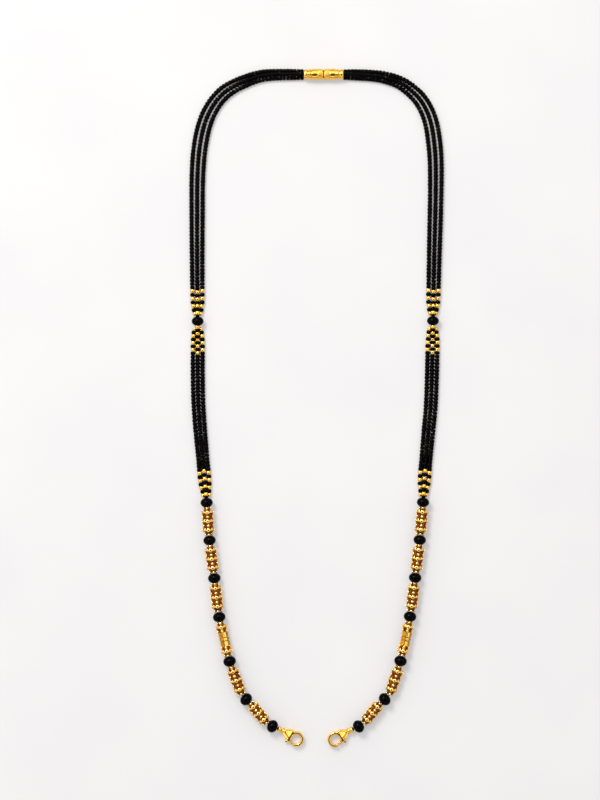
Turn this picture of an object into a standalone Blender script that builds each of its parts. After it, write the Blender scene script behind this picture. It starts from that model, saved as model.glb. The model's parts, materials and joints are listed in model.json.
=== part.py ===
"""Mangalsutra: an open chain of black seed beads and gold beads, laid flat on a table.

Two sides run from a gold screw clasp at the top (far +Y) down to a gold trigger clasp each.
Every side is three strands, a black rondelle, three strands again, then one string of
rondelles and gold tube beads. +Z is up, the table is Z = 0, and sizes are in metres.
"""

from math import asin, ceil, cos, hypot, pi, radians, sin, sqrt, tan

import bmesh
import bpy
from mathutils import Matrix, Vector

MM = 0.001

# Clearances
PIECE_GAP = 0.3 * MM
HOLE_CLEARANCE = 0.3 * MM

# Seed bead strands
SEED_WIDTH = 2.0 * MM
STRAND_SPREAD = 2.5 * MM
UPPER_STRAND = {"left": 142.7 * MM, "right": 137.9 * MM}
LOWER_STRAND = 78.15 * MM
STRAND_STEP = 6.0 * MM
SIDE_STRAND_SHORT = 1.5 * MM
NECK_LENGTH = 2.2 * MM

# Black glass rondelles
RONDELLE_WIDTH = 5.8 * MM
RONDELLE_LENGTH = 4.2 * MM
RONDELLE_FACE = 2.3 * MM

# Gold tube beads
TUBE_BEAD_WIDTH = 6.2 * MM
TUBE_BEAD_LENGTH = 12.8 * MM
PLAIN_BEAD_LENGTH = 15.6 * MM

# Room that the bends of a side open between its beads' faces
BEND_ROOM = 1.55 * MM

# Thread of the single string
THREAD_WIDTH = 0.5 * MM

# Barrel clasp
BARREL_PLACE = 3.1 * MM
BARREL_WIDTH = 5.0 * MM
BARREL_HALF_LENGTH = 8.95 * MM
SCREW_WIDTH = 2.0 * MM
SCREW_LENGTH = 3.0 * MM

# End balls and trigger clasps
BALL_WIDTH = 2.4 * MM
BALL_LENGTH = 1.4 * MM
BALL_BORE = 1.4 * MM
BALL_GAP = 0.45 * MM
DROP_ANGLE = 20.0
CLASP_THICK = 2.9 * MM
CLASP_EDGE = 0.3 * MM
CLASP_ANGLE = 32.0
COLLAR_LENGTH = 1.4 * MM
COLLAR_WIDTH = 2.5 * MM
RING_PLACE = 7.8 * MM
RING_WIDTH = 7.0 * MM
RING_HOLE = 4.4 * MM
PIN_WIDTH = 0.7 * MM
LEVER_THICK = 0.9 * MM

# Corners of the clasp's plate from its shoulder round the collar's end to the pin,
# as shares of the ring's place along the axis and of the ring's radius beside it
PLATE_CORNERS = (
    (0.48, 0.79), (0.14, 0.28), (0.14, -0.3), (0.35, -0.55), (0.5, -0.8),
)

# Sides of the round pieces
BEAD_SIDES = 10
BARREL_SIDES = 16

# Chosen points of each side's middle line as it lies, in millimetres from the barrel
# clasp's axis, down to the end of the last rondelle. Its start is the end of the clasp.
ROUTE_STARTS = {"left": (-5.85, 0.0), "right": (12.05, 0.0)}
ROUTES = {
    "left": [
        (-18.6, -0.1), (-25.8, -0.8), (-33.1, -3.2), (-40.4, -6.9), (-45.0, -11.1),
        (-48.8, -16.9), (-51.1, -22.6), (-52.7, -29.2), (-53.8, -37.1), (-54.4, -48.0),
        (-54.5, -64.0), (-54.5, -79.9), (-54.4, -95.8), (-54.2, -112.2), (-54.2, -123.1),
        (-54.2, -137.2), (-53.9, -150.4), (-53.0, -162.7), (-51.7, -177.3), (-50.1, -194.8),
        (-48.8, -211.9), (-46.6, -229.2), (-44.4, -246.9), (-39.7, -266.9), (-33.9, -282.7),
        (-30.5, -285.7), (-22.3, -295.5), (-18.2, -297.5),
    ],
    "right": [
        (23.3, -0.4), (30.6, -1.3), (37.9, -3.7), (43.3, -7.5), (47.2, -11.6),
        (50.3, -17.1), (52.1, -22.6), (53.2, -28.9), (54.0, -37.1), (54.2, -47.1),
        (54.0, -61.7), (53.6, -77.6), (53.2, -95.8), (52.8, -112.1), (52.7, -123.1),
        (52.4, -137.2), (51.9, -150.4), (50.8, -162.7), (49.5, -177.3), (48.3, -194.5),
        (46.8, -211.6), (44.7, -228.8), (42.4, -246.5), (38.1, -266.6), (32.8, -282.5),
        (29.3, -285.3), (21.0, -295.3), (17.1, -297.6),
    ],
}
SIDES = {"left": -1, "right": 1}

# Rondelle at the meeting of the strands, as shares of the rondelle's length and width
MEETING_RONDELLE = {"length": 0.92, "width": 0.95}

# Beads of the single string from the strands to the clasp: kind, share of length, share of width
STRING_BEADS = (
    ("rondelle", 0.95, 0.98),
    ("granulated", 0.975, 1.0),
    ("rondelle", 0.98, 0.99),
    ("granulated", 0.98, 1.0),
    ("rondelle", 1.0, 1.0),
    ("granulated", 1.01, 1.0),
    ("rondelle", 1.02, 1.0),
    ("plain_middle", 1.0, 1.0),
    ("rondelle", 1.05, 1.01),
    ("granulated", 1.05, 1.0),
    ("rondelle", 1.07, 1.03),
    ("granulated", 0.91, 1.0),
    ("rondelle", 1.05, 1.02),
)

# How far a side strand lies from the middle one: share of the strand, share of the spread
UPPER_SPREAD = (
    (0.0, 0.52), (0.03, 0.62), (0.09, 0.66), (0.14, 0.74), (0.195, 0.84), (0.26, 0.97),
    (0.34, 1.05), (0.43, 1.09), (0.53, 1.05), (0.61, 1.02), (0.7, 1.0), (0.8, 0.95),
    (0.9, 0.91), (0.953, 0.87), (0.965, 0.76), (0.977, 0.67), (0.988, 0.53), (1.0, 0.5),
)
LOWER_SPREAD = (
    (0.0, 0.48), (0.013, 0.5), (0.044, 0.73), (0.065, 0.78), (0.087, 0.86), (0.14, 0.88),
    (0.35, 0.88), (0.6, 0.85), (0.79, 0.79), (0.87, 0.83), (0.916, 0.78), (0.936, 0.7),
    (0.9615, 0.56), (0.98, 0.53), (1.0, 0.5),
)

# Tube bead profile between its ends: share of the length, share of the half width
GRANULATED_PROFILE = (
    (0.045, 0.8), (0.1, 0.73), (0.195, 1.0), (0.27, 0.78), (0.35, 0.92), (0.43, 0.78),
    (0.5, 1.0), (0.57, 0.78), (0.65, 0.92), (0.73, 0.78), (0.805, 1.0), (0.9, 0.73),
    (0.955, 0.8),
)
PLAIN_PROFILE = (
    (0.04, 0.8), (0.08, 0.73), (0.145, 1.0), (0.21, 0.76), (0.26, 0.84), (0.3, 0.78),
    (0.42, 0.78), (0.43, 0.72), (0.445, 0.82), (0.555, 0.82), (0.57, 0.72), (0.58, 0.78),
    (0.7, 0.78), (0.74, 0.84), (0.79, 0.76), (0.855, 1.0), (0.92, 0.73), (0.96, 0.8),
)
TUBE_BEAD_FACE = 0.6

# Rondelle profile between its faces: share of the length, share of the half width
RONDELLE_PROFILE = ((0.16, 0.74), (0.36, 0.95), (0.5, 1.0), (0.64, 0.95), (0.84, 0.74))

# Barrel half profile from the middle seam outward: share of the length, share of the half width
BARREL_PROFILE = (
    (0.0, 0.9), (0.05, 0.97), (0.29, 0.97), (0.3, 0.93), (0.32, 1.0), (0.65, 1.0),
    (0.68, 0.8), (0.71, 0.85), (0.78, 0.85), (0.81, 0.68), (0.84, 0.82), (0.93, 0.86),
    (0.98, 0.72),
)

# Values that follow from the sizes above
BEAD_SIZES = {
    "rondelle": (RONDELLE_LENGTH, RONDELLE_WIDTH),
    "granulated": (TUBE_BEAD_LENGTH, TUBE_BEAD_WIDTH),
    "plain_middle": (PLAIN_BEAD_LENGTH, TUBE_BEAD_WIDTH),
}
BEAD_PROFILES = {"granulated": GRANULATED_PROFILE, "plain_middle": PLAIN_PROFILE}
TUBE_WIDTH = SEED_WIDTH - PIECE_GAP
STRING_HEIGHT = TUBE_BEAD_WIDTH / 2
MEETING_HEIGHT = MEETING_RONDELLE["width"] * RONDELLE_WIDTH / 2
BEAD_BORE = THREAD_WIDTH + 2 * HOLE_CLEARANCE
CLASP_HEIGHT = CLASP_THICK / 2


# Middle line of a side

def smooth_line(points, steps=8):
    """Points along a smooth curve through the chosen points, its bends in proportion to them."""
    around = [2 * points[0] - points[1]] + points + [2 * points[-1] - points[-2]]
    tangents = [(after - before).normalized() for before, after in zip(around, around[2:])]
    line = []
    for start, end, leave, arrive in zip(points, points[1:], tangents, tangents[1:]):
        reach = (end - start).length
        for step in range(steps):
            t = step / steps
            rise = t * t * (3 - 2 * t)
            line.append(
                start * (1 - rise) + end * rise
                + leave * (reach * t * (1 - t) ** 2) - arrive * (reach * t * t * (1 - t))
            )
    line.append(points[-1])
    return line


def side_length(side):
    """Length of a side from the barrel clasp to the end of its last rondelle."""
    lengths = [UPPER_STRAND[side], LOWER_STRAND, RONDELLE_LENGTH * MEETING_RONDELLE["length"]]
    lengths += [BEAD_SIZES[kind][0] * share for kind, share, _ in STRING_BEADS]
    return sum(lengths) + len(lengths) * PIECE_GAP + BEND_ROOM


class Route:
    """A side's middle line in plan, read by the distance along it from the barrel clasp.

    The chosen points give its shape, and the pieces strung on it give its length.
    """

    def __init__(self, side):
        drawn = [Vector(point) for point in [ROUTE_STARTS[side]] + ROUTES[side]]
        line = smooth_line(drawn)
        length = sum((b - a).length for a, b in zip(line, line[1:]))
        scale = side_length(side) / length
        start = Vector((BARREL_PLACE + SIDES[side] * BARREL_HALF_LENGTH, 0.0))
        self.side = side
        self.line = [start + (point - drawn[0]) * scale for point in line]
        self.reach = [0.0]
        for a, b in zip(self.line, self.line[1:]):
            self.reach.append(self.reach[-1] + (b - a).length)

    def at(self, distance):
        """Place on the line, and the direction there; both ends run on straight."""
        index = 0
        while index < len(self.reach) - 2 and self.reach[index + 1] < distance:
            index += 1
        a, b = self.line[index], self.line[index + 1]
        direction = (b - a).normalized()
        return a + direction * (distance - self.reach[index]), direction

    def beside(self, distance, outward):
        """Place at a distance along the line, moved outward from the loop."""
        place, direction = self.at(distance)
        normal = Vector((direction.y, -direction.x)) * -SIDES[self.side]
        return place + normal * outward


def read_table(table, share):
    """Value at a share of the length, on straight lines between the table's rows."""
    for (x0, y0), (x1, y1) in zip(table, table[1:]):
        if share <= x1:
            return y0 + (y1 - y0) * (share - x0) / (x1 - x0)
    return table[-1][1]


# Materials, collections and placing

def material(name, colour, metallic, roughness):
    made = bpy.data.materials.new(name)
    made.use_nodes = True
    shader = made.node_tree.nodes["Principled BSDF"]
    shader.inputs["Base Color"].default_value = (*colour, 1.0)
    shader.inputs["Metallic"].default_value = metallic
    shader.inputs["Roughness"].default_value = roughness
    return made


def new_collection(name):
    made = bpy.data.collections.new(name)
    bpy.context.scene.collection.children.link(made)
    return made


def add_piece(name, data, kind, place=(0.0, 0.0, 0.0), turn=None):
    """One piece of the necklace: its shape, material, place and rotation under the empty."""
    piece = bpy.data.objects.new(name, data)
    collection.objects.link(piece)
    piece.parent = necklace
    piece.matrix_local = Matrix.Translation(place) @ (turn or Matrix()).to_4x4()
    data.materials.append(material(name, *FINISHES[kind]))
    return piece


def along(direction, up=Vector((0.0, 0.0, 1.0))):
    """Rotation that lays an upright turned piece along a direction, its +X side up."""
    z = Vector(direction).normalized()
    y = z.cross(up).normalized()
    return Matrix((y.cross(z), y, z)).transposed()


# Turned pieces

def outline_mesh(name, profile):
    """A profile of (radius, height), top to bottom on its outside, in the +X half plane."""
    mesh = bpy.data.meshes.new(name)
    vertices = [(radius, 0.0, height) for radius, height in profile]
    edges = [(i, i + 1) for i in range(len(profile) - 1)]
    if profile[0][0] > 0.0:
        edges.append((len(profile) - 1, 0))
    mesh.from_pydata(vertices, edges, [])
    return mesh


def add_turn(piece, sides):
    screw = piece.modifiers.new("turn", "SCREW")
    screw.steps = sides
    screw.render_steps = sides
    screw.use_merge_vertices = True
    screw.merge_threshold = 0.001 * MM
    screw.use_smooth_shade = True


def turned_piece(name, profile, sides, kind, place, direction):
    """A profile turned about its height, laid with its top toward the direction."""
    piece = add_piece(name, outline_mesh(name, profile), kind, place, along(direction))
    add_turn(piece, sides)
    return piece


def bead_profile(table, length, width, face, bore):
    """A drilled bead: face to face over its outside, and back through the bore."""
    half = width / 2
    outside = [(half * share, length * (0.5 - at)) for at, share in table]
    return (
        [(face / 2, length / 2)] + outside
        + [(face / 2, -length / 2), (bore / 2, -length / 2), (bore / 2, length / 2)]
    )


def rondelle(name, length, width, place, direction):
    profile = bead_profile(RONDELLE_PROFILE, length, width, RONDELLE_FACE, BEAD_BORE)
    return turned_piece(name, profile, BEAD_SIDES, "glass", place, direction)


def tube_bead(name, table, length, width, place, direction):
    profile = bead_profile(table, length, width, width * TUBE_BEAD_FACE, BEAD_BORE)
    return turned_piece(name, profile, BEAD_SIDES, "gold", place, direction)


def ball_profile(width, length, bore, rows=6):
    """A drilled ball, flattened along its bore, from one rim of the bore to the other."""
    start = asin(bore / width)
    angles = [start + (pi - 2 * start) * row / rows for row in range(rows + 1)]
    return [(width / 2 * sin(angle), length / 2 * cos(angle) / cos(start)) for angle in angles]


# Tubes

def tube(name, points, width, kind):
    """A round tube along points, with closed ends."""
    curve = bpy.data.curves.new(name, "CURVE")
    curve.dimensions = "3D"
    curve.bevel_depth = width / 2
    curve.bevel_resolution = 2
    curve.use_fill_caps = True
    spline = curve.splines.new("POLY")
    spline.points.add(len(points) - 1)
    for spot, point in zip(spline.points, points):
        spot.co = (*point, 1.0)
    return add_piece(name, curve, kind)


def strand_points(route, start, length, spread, outward, end_heights):
    """Points of one strand: -1 and 1 are the side strands, 0 rides over them in the middle."""
    short = SIDE_STRAND_SHORT if outward else 0.0
    first = start + (short if end_heights[0] else 0.0)
    last = start + length - (short if end_heights[1] else 0.0)
    count = ceil((last - first) / STRAND_STEP)
    points = []
    for i in range(count + 1):
        # Closer points toward both ends, where the strands draw together
        share = i / count - 0.6 * sin(2 * pi * i / count) / (2 * pi)
        distance = first + (last - first) * share
        beside = STRAND_SPREAD * read_table(spread, (distance - start) / length)
        height = SEED_WIDTH / 2
        if not outward:
            height += sqrt(max(0.0, SEED_WIDTH ** 2 - beside ** 2))
            for end_height, away in zip(end_heights, (distance - start, start + length - distance)):
                if end_height and away < NECK_LENGTH:
                    height += (end_height - height) * (1.0 - away / NECK_LENGTH)
        place = route.beside(distance, outward * beside)
        points.append((place.x, place.y, height))
    return points


def add_strands(route, section, start, length, spread, end_heights):
    for name, outward in (("inner", -1), ("middle", 0), ("outer", 1)):
        points = strand_points(route, start, length, spread, outward, end_heights)
        tube(f"strand_{section}_{name}_{route.side}", points, TUBE_WIDTH, "glass")


# Single string

def lay_bead(route, start, length, height):
    """A straight bead that starts at a distance along the route: its two ends."""
    first, _ = route.at(start)
    then, _ = route.at(start + length)
    direction = (then - first).normalized()
    return Vector((*first, height)), Vector((*(first + direction * length), height))


def bend_gap(before, start, length, route):
    """Room between two beads, so that their faces clear where the string bends."""
    if before is None:
        return PIECE_GAP
    ends = lay_bead(route, start + PIECE_GAP, length, before.z)
    bend = before.angle(ends[1] - ends[0])
    return PIECE_GAP + RONDELLE_FACE * tan(bend / 2)


def add_string(route, start):
    """The beads of the single string: the thread's points, and where the last bead ends."""
    counts = {"rondelle": 1, "granulated": 0, "plain_middle": 0}
    distance = start
    before = None
    thread = []
    for kind, length_share, width_share in STRING_BEADS:
        length = BEAD_SIZES[kind][0] * length_share
        width = BEAD_SIZES[kind][1] * width_share
        distance += bend_gap(before, distance, length, route)
        first, last = lay_bead(route, distance, length, STRING_HEIGHT)
        before = last - first
        middle = (first + last) / 2
        counts[kind] += 1
        name = f"{kind}_{counts[kind]}_{route.side}"
        if kind == "rondelle":
            rondelle(name, length, width, middle, before)
        else:
            tube_bead(name, BEAD_PROFILES[kind], length, width, middle, before)
        thread += [first, last]
        distance += length
    return thread, last


# Trigger clasp, drawn flat with its collar's mouth at the origin and its axis along +X

RING_RADIUS = RING_WIDTH / 2
HOLE_RADIUS = RING_HOLE / 2
PIVOT_ANGLE = radians(216)
COLLAR_SIDES = 10
PIVOT_REACH = RING_RADIUS - 0.1 * MM
PIVOT = Vector((RING_PLACE + PIVOT_REACH * cos(PIVOT_ANGLE), PIVOT_REACH * sin(PIVOT_ANGLE)))
PIN_BORE = PIN_WIDTH + 0.5 * MM
BOSS_WIDTH = PIN_BORE + 0.9 * MM
CHEEK_WIDTH = BOSS_WIDTH + 0.1 * MM
SLOT_HEIGHT = LEVER_THICK + 2 * PIECE_GAP
SLOT_WIDTH = BOSS_WIDTH + 2 * PIECE_GAP
ARM_START = CHEEK_WIDTH / 2 + PIECE_GAP
LEVER_START_ANGLE = 228.0
LEVER_END_ANGLE = 260.0
HOOK_TIP_ANGLE = 273.0
SHOULDER_ANGLE = 135.0
HOLE_START_ANGLE = 205.0
TAB_WIDTH = 1.1 * MM
TAB_REACH = 1.55 * MM
TAB_ANGLE = 246.0
RELIEF_REACH = 1.85 * MM
RELIEF_ANGLES = (-80.0, 62.0)


def arc(centre, radius, start, end, steps):
    """Points on an arc, angles in degrees."""
    angles = [radians(start + (end - start) * i / steps) for i in range(steps + 1)]
    return [centre + radius * Vector((cos(a), sin(a))) for a in angles]


def plate(name, outline, thick, edge=0.0):
    """A flat outline with chamfered edges, its middle at height zero, as a closed mesh."""
    curve = bpy.data.curves.new(name, "CURVE")
    curve.dimensions = "2D"
    curve.fill_mode = "BOTH"
    curve.extrude = thick / 2 - edge
    curve.bevel_depth = edge
    curve.bevel_resolution = 0
    curve.offset = -edge
    spline = curve.splines.new("POLY")
    spline.points.add(len(outline) - 1)
    for spot, point in zip(spline.points, outline):
        spot.co = (point.x, point.y, 0.0, 1.0)
    spline.use_cyclic_u = True
    drawn = bpy.data.objects.new(name, curve)
    bpy.context.scene.collection.objects.link(drawn)
    return as_mesh(drawn)


def disc(name, centre, width, thick, steps=14):
    return plate(name, arc(centre, width / 2, 0, 360 - 360 / steps, steps - 1), thick)


def as_mesh(drawn):
    """The evaluated object as a welded mesh object in the cutters' collection."""
    graph = bpy.context.evaluated_depsgraph_get()
    mesh = bpy.data.meshes.new_from_object(drawn.evaluated_get(graph), depsgraph=graph)
    welded = bmesh.new()
    welded.from_mesh(mesh)
    bmesh.ops.remove_doubles(welded, verts=welded.verts, dist=0.001 * MM)
    bmesh.ops.triangulate(welded, faces=welded.faces)
    bmesh.ops.recalc_face_normals(welded, faces=welded.faces)
    welded.to_mesh(mesh)
    welded.free()
    made = bpy.data.objects.new(drawn.name + "_mesh", mesh)
    made.matrix_world = drawn.matrix_world
    made.display_type = "WIRE"
    made.hide_render = True
    cutters.objects.link(made)
    bpy.data.objects.remove(drawn)
    return made


def combine(base, steps):
    """The base with each (operation, object) in turn, welded after every step."""
    for operation, other in steps:
        boolean = base.modifiers.new(other.name, "BOOLEAN")
        boolean.operation = operation
        boolean.object = other
        bpy.context.view_layer.update()
        base = as_mesh(base)
    return base.data


def collar():
    """The collar that the thread is tied into, turned about the clasp's axis."""
    flange = COLLAR_WIDTH / 2
    groove = flange * 0.78
    bore = BEAD_BORE / 2
    depth = COLLAR_LENGTH * 0.75
    profile = (
        (flange, 0.0), (flange, 0.3), (groove, 0.36), (groove, 0.5), (flange * 0.94, 0.58),
        (flange * 0.94, 0.85), (groove * 0.8, 1.25),
    )
    outside = [(radius, -COLLAR_LENGTH * share) for radius, share in profile]
    socket = [(0.0, -depth), (bore, -depth), (bore, 0.0)]
    back = [(0.0, outside[-1][1])]
    turned = bpy.data.objects.new("collar", outline_mesh("collar", socket + outside + back))
    turned.matrix_world = along((-1.0, 0.0, 0.0)).to_4x4()
    bpy.context.scene.collection.objects.link(turned)
    add_turn(turned, COLLAR_SIDES)
    return as_mesh(turned)


def hook_mesh():
    """Hook body: collar, tapering plate, ring with its mouth, two cheeks and the pin."""
    ring = Vector((RING_PLACE, 0.0))
    outline = [Vector((RING_PLACE * x, RING_RADIUS * y)) for x, y in PLATE_CORNERS] + [PIVOT]
    outline += arc(ring, HOLE_RADIUS, HOLE_START_ANGLE, HOOK_TIP_ANGLE - 360, 15)
    outline += arc(ring, RING_RADIUS, HOOK_TIP_ANGLE - 360, SHOULDER_ANGLE, 14)
    body = plate("hook_body", outline, CLASP_THICK, CLASP_EDGE)
    relief = [PIVOT] + arc(PIVOT, RELIEF_REACH, *RELIEF_ANGLES, 8)
    return combine(body, [
        ("DIFFERENCE", plate("relief", relief, 2 * CLASP_THICK)),
        ("UNION", disc("cheeks", PIVOT, CHEEK_WIDTH, CLASP_THICK)),
        ("DIFFERENCE", disc("slot", PIVOT, SLOT_WIDTH, SLOT_HEIGHT, 16)),
        ("UNION", disc("pin", PIVOT, PIN_WIDTH, CLASP_THICK - PIECE_GAP, 8)),
        ("UNION", collar()),
    ])


def lever_mesh():
    """Lever about its pin: boss, web in the slot, full-height arm across the mouth, thumb tab."""
    ring = Vector((RING_PLACE, 0.0))
    edge = CLASP_EDGE / 2
    outer = RING_RADIUS - edge
    inner = HOLE_RADIUS + edge
    outline = arc(ring, inner, LEVER_END_ANGLE, LEVER_START_ANGLE, 5)
    outline += arc(ring, outer, LEVER_START_ANGLE - 6, LEVER_END_ANGLE, 6)
    arm = plate("arm", outline, CLASP_THICK, edge)
    tab_end = PIVOT + TAB_REACH * Vector((cos(radians(TAB_ANGLE)), sin(radians(TAB_ANGLE))))
    tab = arc(PIVOT, TAB_WIDTH / 2, TAB_ANGLE + 90, TAB_ANGLE + 270, 1)
    tab += arc(tab_end, TAB_WIDTH / 2, TAB_ANGLE - 90, TAB_ANGLE + 90, 5)
    mesh = combine(arm, [
        ("DIFFERENCE", disc("arm_start", PIVOT, 2 * ARM_START, 2 * CLASP_THICK, 18)),
        ("UNION", plate("web", outline, LEVER_THICK)),
        ("UNION", disc("boss", PIVOT, BOSS_WIDTH, LEVER_THICK)),
        ("UNION", plate("tab", tab, LEVER_THICK)),
        ("DIFFERENCE", disc("lever_bore", PIVOT, PIN_BORE, 2 * CLASP_THICK, 12)),
    ])
    mesh.transform(Matrix.Translation((-PIVOT.x, -PIVOT.y, 0.0)))
    return mesh


def add_clasp(side, mouth):
    """A trigger clasp with its collar's mouth at a place; the right one lies flipped over."""
    angle = radians(-CLASP_ANGLE if side == "left" else CLASP_ANGLE - 180)
    turn = Matrix.Rotation(angle, 4, "Z")
    if side == "right":
        turn = turn @ Matrix.Rotation(pi, 4, "X")
    add_piece(f"hook_{side}", hook_meshes[side], "gold", mouth, turn)
    pivot = mouth + turn @ Vector((*PIVOT, 0.0))
    add_piece(f"lever_{side}", lever_meshes[side], "gold", pivot, turn)
    return mouth + turn @ Vector((RING_PLACE, 0.0, 0.0)), turn @ Vector((1.0, 0.0, 0.0))


# Barrel clasp

def add_barrel():
    """Two turned halves with a seam between: one carries the screw, the other its socket."""
    half = BARREL_WIDTH / 2
    seam = PIECE_GAP / 2
    length = BARREL_HALF_LENGTH - seam
    outside = [(half * radius, length * share) for share, radius in reversed(BARREL_PROFILE)]
    cap = [(0.0, length)]
    screw = [(SCREW_WIDTH / 2, 0.0), (SCREW_WIDTH / 2, -SCREW_LENGTH), (0.0, -SCREW_LENGTH)]
    bore = SCREW_WIDTH / 2 + HOLE_CLEARANCE
    depth = SCREW_LENGTH + HOLE_CLEARANCE
    socket = [(bore, 0.0), (bore, depth), (0.0, depth)]
    for name, side, inside in (("screw", -1, screw), ("socket", 1, socket)):
        place = Vector((BARREL_PLACE + side * seam, 0.0, half))
        profile = cap + outside + inside
        turned_piece(f"barrel_{name}_half", profile, BARREL_SIDES, "gold", place, (side, 0, 0))


# Whole necklace

def add_side(side):
    """Everything on one side, from the barrel clasp to the trigger clasp; returns the ring's place."""
    route = Route(side)
    distance = PIECE_GAP
    add_strands(route, "upper", distance, UPPER_STRAND[side], UPPER_SPREAD, (None, MEETING_HEIGHT))
    distance += UPPER_STRAND[side] + PIECE_GAP

    length = RONDELLE_LENGTH * MEETING_RONDELLE["length"]
    width = RONDELLE_WIDTH * MEETING_RONDELLE["width"]
    first, last = lay_bead(route, distance, length, MEETING_HEIGHT)
    rondelle(f"rondelle_1_{side}", length, width, (first + last) / 2, last - first)
    distance += length + PIECE_GAP

    add_strands(route, "lower", distance, LOWER_STRAND, LOWER_SPREAD, (MEETING_HEIGHT, STRING_HEIGHT))
    distance += LOWER_STRAND
    thread, last = add_string(route, distance)

    # The string drops from the last rondelle through the end ball to the clasp's collar
    drop = radians(-DROP_ANGLE if side == "left" else DROP_ANGLE - 180)
    run = BALL_LENGTH + 2 * BALL_GAP
    level = Vector((cos(drop), sin(drop), 0.0))
    mouth = last + run * level
    mouth.z = CLASP_HEIGHT
    tilt = (mouth - last).normalized() + level
    middle = (mouth + last) / 2
    profile = ball_profile(BALL_WIDTH, BALL_LENGTH, BALL_BORE)
    turned_piece(f"end_ball_{side}", profile, BEAD_SIDES, "gold", middle, tilt)
    ring, axis = add_clasp(side, mouth)
    thread += [mouth, mouth + axis * COLLAR_LENGTH / 2]
    tube(f"thread_{side}", thread, THREAD_WIDTH, "thread")
    return ring


FINISHES = {
    "gold": ((0.83, 0.52, 0.13), 1.0, 0.2),
    "glass": ((0.01, 0.01, 0.012), 0.0, 0.08),
    "thread": ((0.02, 0.02, 0.02), 0.0, 0.8),
}

for old in list(bpy.data.objects):
    bpy.data.objects.remove(old)
collection = new_collection("mangalsutra")
cutters = new_collection("cutters")
necklace = bpy.data.objects.new("necklace", None)
collection.objects.link(necklace)

hook_meshes = {"left": hook_mesh()}
hook_meshes["right"] = hook_meshes["left"].copy()
lever_meshes = {"left": lever_mesh()}
lever_meshes["right"] = lever_meshes["left"].copy()

add_barrel()
rings = [add_side(side) for side in SIDES]

# The origin lies midway between the barrel clasp's upper edge and the lower hook's edge
bottom = min(ring.y for ring in rings) - RING_RADIUS
necklace.location.y = -(bottom + BARREL_WIDTH / 2) / 2
bpy.context.view_layer.update()
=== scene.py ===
# %% [markdown]
# # Dressing a mangalsutra
#
# A mangalsutra is a wedding necklace of black beads and gold. This one lies open on a pale
# board: a gold screw clasp at the top, three strands of black seed beads down each side, then
# one string of black rondelles and gold tube beads, and a gold trigger clasp at each end.
#
# The plain solids come in as a fixed frame that never moves. Each piece made here stands for
# one of them, in the same place, with the detail that the hand and the eye find on the real one.

# %% Load the frame
import json
import random
from math import asin, atan2, cos, hypot, pi, radians, sin, sqrt, tan

import bmesh
import bpy
from mathutils import Matrix, Vector

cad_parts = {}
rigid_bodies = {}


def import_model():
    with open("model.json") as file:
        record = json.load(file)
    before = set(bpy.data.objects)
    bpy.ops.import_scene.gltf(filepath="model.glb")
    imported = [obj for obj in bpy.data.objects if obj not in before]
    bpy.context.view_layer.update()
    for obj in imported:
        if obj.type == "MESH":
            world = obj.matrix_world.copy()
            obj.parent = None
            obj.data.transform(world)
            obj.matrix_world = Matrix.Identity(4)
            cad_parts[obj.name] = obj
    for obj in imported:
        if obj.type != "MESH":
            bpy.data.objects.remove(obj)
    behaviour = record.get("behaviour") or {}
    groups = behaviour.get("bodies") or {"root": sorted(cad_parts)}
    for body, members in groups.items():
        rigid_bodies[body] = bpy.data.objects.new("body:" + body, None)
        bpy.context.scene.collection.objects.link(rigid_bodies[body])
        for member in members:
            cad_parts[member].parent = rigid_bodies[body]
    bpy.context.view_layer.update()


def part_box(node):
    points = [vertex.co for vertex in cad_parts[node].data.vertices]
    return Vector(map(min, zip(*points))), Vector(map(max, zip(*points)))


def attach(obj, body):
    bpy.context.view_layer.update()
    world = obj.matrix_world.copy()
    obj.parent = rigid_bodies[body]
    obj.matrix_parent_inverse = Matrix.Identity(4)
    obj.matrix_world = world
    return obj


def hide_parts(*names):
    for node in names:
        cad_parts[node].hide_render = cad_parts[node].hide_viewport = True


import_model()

MM = 0.001
chance = random.Random(11)

# %% [markdown]
# ## Colour
#
# Colours are picked on a screen as sRGB codes, but light adds up in linear values. One function
# turns a code into what a shader needs.

# %% Colours from sRGB codes
def linear(code):
    """An sRGB hex code as a linear colour with full alpha."""
    shares = [int(code[i:i + 2], 16) / 255 for i in (1, 3, 5)]
    return (*[s / 12.92 if s <= 0.04045 else ((s + 0.055) / 1.055) ** 2.4 for s in shares], 1.0)


print("gold in linear light:", [round(part, 3) for part in linear("#FFCC62")])

# %% [markdown]
# ## Nodes
#
# A material is a small graph. One helper adds a node, gives it its settings, and fills each
# input either with a plain value or with a link from another node.

# %% Add a node
def add_node(tree, kind, inputs, **settings):
    """A node with its settings made, and each input given a value or linked to a socket."""
    made = tree.nodes.new(kind)
    for name, value in settings.items():
        setattr(made, name, value)
    for name, value in inputs.items():
        if isinstance(value, bpy.types.NodeSocket):
            tree.links.new(value, made.inputs[name])
        else:
            made.inputs[name].default_value = value
    return made


# %% [markdown]
# ## A finish and its patterns
#
# A real surface varies in three ways: its colour from patch to patch, its polish where hands
# and tools have been, and its level, as light across it shows. So every finish here follows
# three patterns. Most are noise with lumps of a real size. Noise keeps near its middle, so only
# the middle of its range is read, and spread out over the two colours or the two roughnesses.

# %% Make a finish
NOISE_LOW = 0.3
NOISE_HIGH = 0.7
COLOUR_SPOTS = (0.35, 0.65)


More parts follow.
